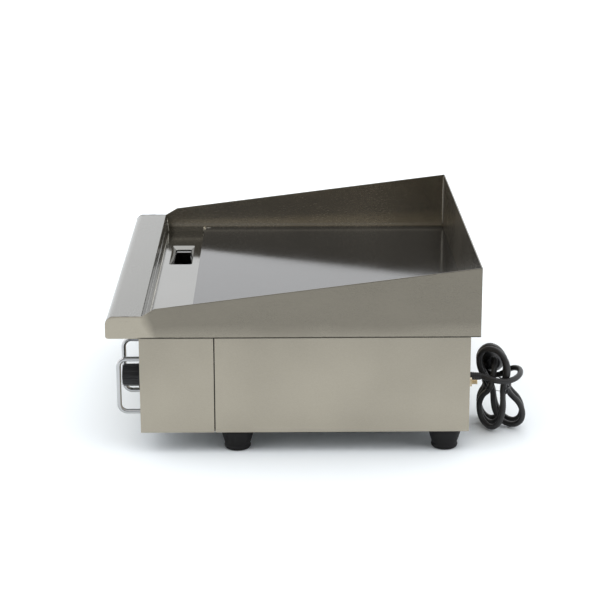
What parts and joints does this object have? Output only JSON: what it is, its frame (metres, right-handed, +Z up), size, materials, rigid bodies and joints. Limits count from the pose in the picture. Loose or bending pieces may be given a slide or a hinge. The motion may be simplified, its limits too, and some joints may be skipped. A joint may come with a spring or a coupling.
{
  "type": "flat top griddle",
  "caption": "Countertop electric flat top griddle: steel plate with splash guards and front trough, knob between guard rods, pull-out grease drawer, rubber feet, mains lead.",
  "frame": {"origin": "on the table, under the middle of the top", "axes": "+Z up, the front faces -Y, +X to the right-hand side seen from the front"},
  "size_m": [0.55, 0.538, 0.243],
  "materials": {
    "casing_steel": "satin stainless sheet with a fine grain",
    "pan_steel": "plain bright sheet",
    "splash_steel": "satin stainless sheet with a fine grain",
    "lip_steel": "satin stainless sheet with a fine grain",
    "plate_steel": "ground and polished steel plate",
    "element_sheath": "dull oxidised steel sheath",
    "zinc_hardware": "bright zinc plate",
    "chrome_rod": "polished chrome",
    "foot_rubber": "matte moulded rubber",
    "fibre_board": "soft fibrous board",
    "switch_plastic": "moulded thermoset plastic",
    "dial_metal": "spun face with dark marks",
    "brass_fitting": "turned brass",
    "green_lens": "clear tinted lens",
    "amber_lens": "clear tinted lens",
    "black_plastic": "moulded phenolic",
    "cord_rubber": "matte cord jacket",
    "white_mark": "painted mark",
    "red_plastic": "moulded button"
  },
  "bodies": {
    "griddle": {"base_pan": "pan_steel", "rear_casing": "casing_steel", "front_housing": "casing_steel", "seam_strips": "pan_steel", "splash_right": "splash_steel", "splash_left": "splash_steel", "splash_back": "splash_steel", "front_lip": "lip_steel", "drain_trough": "lip_steel", "drain_chute": "pan_steel", "griddle_plate": "plate_steel", "plate_studs": "element_sheath", "element_left": "element_sheath", "element_right": "element_sheath", "element_clamps": "pan_steel", "clamp_nuts": "zinc_hardware", "insulation_board": "fibre_board", "heat_shield": "pan_steel", "casing_brackets": "pan_steel", "casing_screws": "zinc_hardware", "base_screws": "zinc_hardware", "foot_front_left": "foot_rubber", "foot_front_right": "foot_rubber", "foot_rear_left": "foot_rubber", "foot_rear_right": "foot_rubber", "foot_screws": "zinc_hardware", "thermostat_body": "switch_plastic", "thermostat_bushing": "brass_fitting", "thermostat_screws": "zinc_hardware", "dial_plate": "dial_metal", "sensing_bulb": "brass_fitting", "capillary_tube": "brass_fitting", "cutout_body": "switch_plastic", "cutout_nut": "zinc_hardware", "power_lamp": "green_lens", "heat_lamp": "amber_lens", "right_knob_guard": "chrome_rod", "left_knob_guard": "chrome_rod", "guard_nuts": "zinc_hardware", "drawer_rails": "pan_steel", "terminal_block": "switch_plastic", "wiring_harness": "cord_rubber", "bonding_stud": "brass_fitting", "bonding_nuts": "brass_fitting", "cord_gland": "black_plastic", "gland_locknut": "zinc_hardware", "power_cord": "cord_rubber", "cord_hank": "cord_rubber", "plug_body": "black_plastic", "plug_pins": "brass_fitting"},
    "knob": {"thermostat_knob": "black_plastic", "knob_pointer": "white_mark", "thermostat_spindle": "zinc_hardware"},
    "drawer": {"drawer_tray": "pan_steel", "drawer_front": "casing_steel", "drawer_handle": "chrome_rod", "handle_screws": "zinc_hardware"},
    "reset": {"reset_button": "red_plastic"}
  },
  "joints": [
    {"name": "knob_turn", "type": "hinge", "parent": "griddle", "child": "knob", "pos_m": [0.2075, -0.2, 0.0843], "axis": [0, 1, 0], "range_deg": [0, 290]},
    {"name": "drawer_slide", "type": "slide", "parent": "griddle", "child": "drawer", "axis": [0, -1, 0], "range_m": [0, 0.14]},
    {"name": "reset_press", "type": "slide", "parent": "griddle", "child": "reset", "axis": [0, 0, 1], "range_m": [0, 0.0015], "stiffness_N_per_m": 400}
  ]
}
